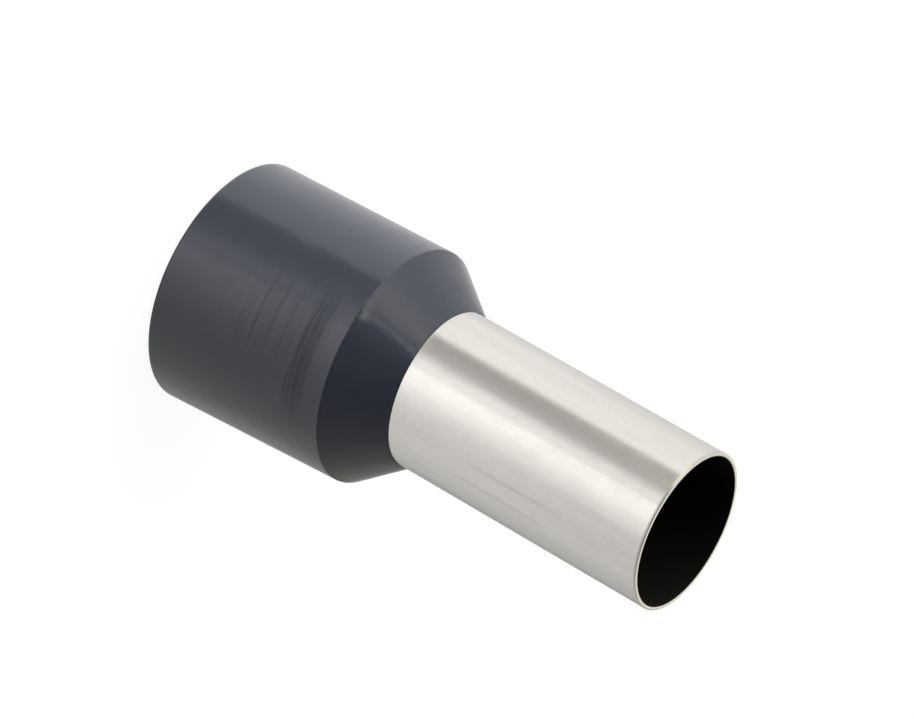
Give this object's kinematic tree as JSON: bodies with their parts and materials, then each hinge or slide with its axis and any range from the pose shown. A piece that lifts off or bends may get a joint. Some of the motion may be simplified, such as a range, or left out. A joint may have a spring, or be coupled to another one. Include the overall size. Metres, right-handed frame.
{
  "type": "wire ferrule",
  "caption": "Insulated wire end ferrule: a thin tin-plated copper sleeve, flared at its rear, in a slate grey plastic collar with a tapered barrel and a conical nose.",
  "frame": {"origin": "centre of the collar's open rim, where the ferrule stands on a surface", "axes": "+Z along the collar's axis, up to the sleeve's mouth; +X the way that the sleeve leans, 2.4 degrees from the collar's axis"},
  "size_m": [0.0136, 0.0136, 0.03],
  "materials": {
    "tinned_copper": "satin tin plating with fine draw marks along the tube",
    "slate_polypropylene": "moulded, satin, with fine scuffs round the barrel"
  },
  "bodies": {
    "root": {"metal_sleeve": "tinned_copper", "insulating_collar": "slate_polypropylene"}
  },
  "joints": []
}
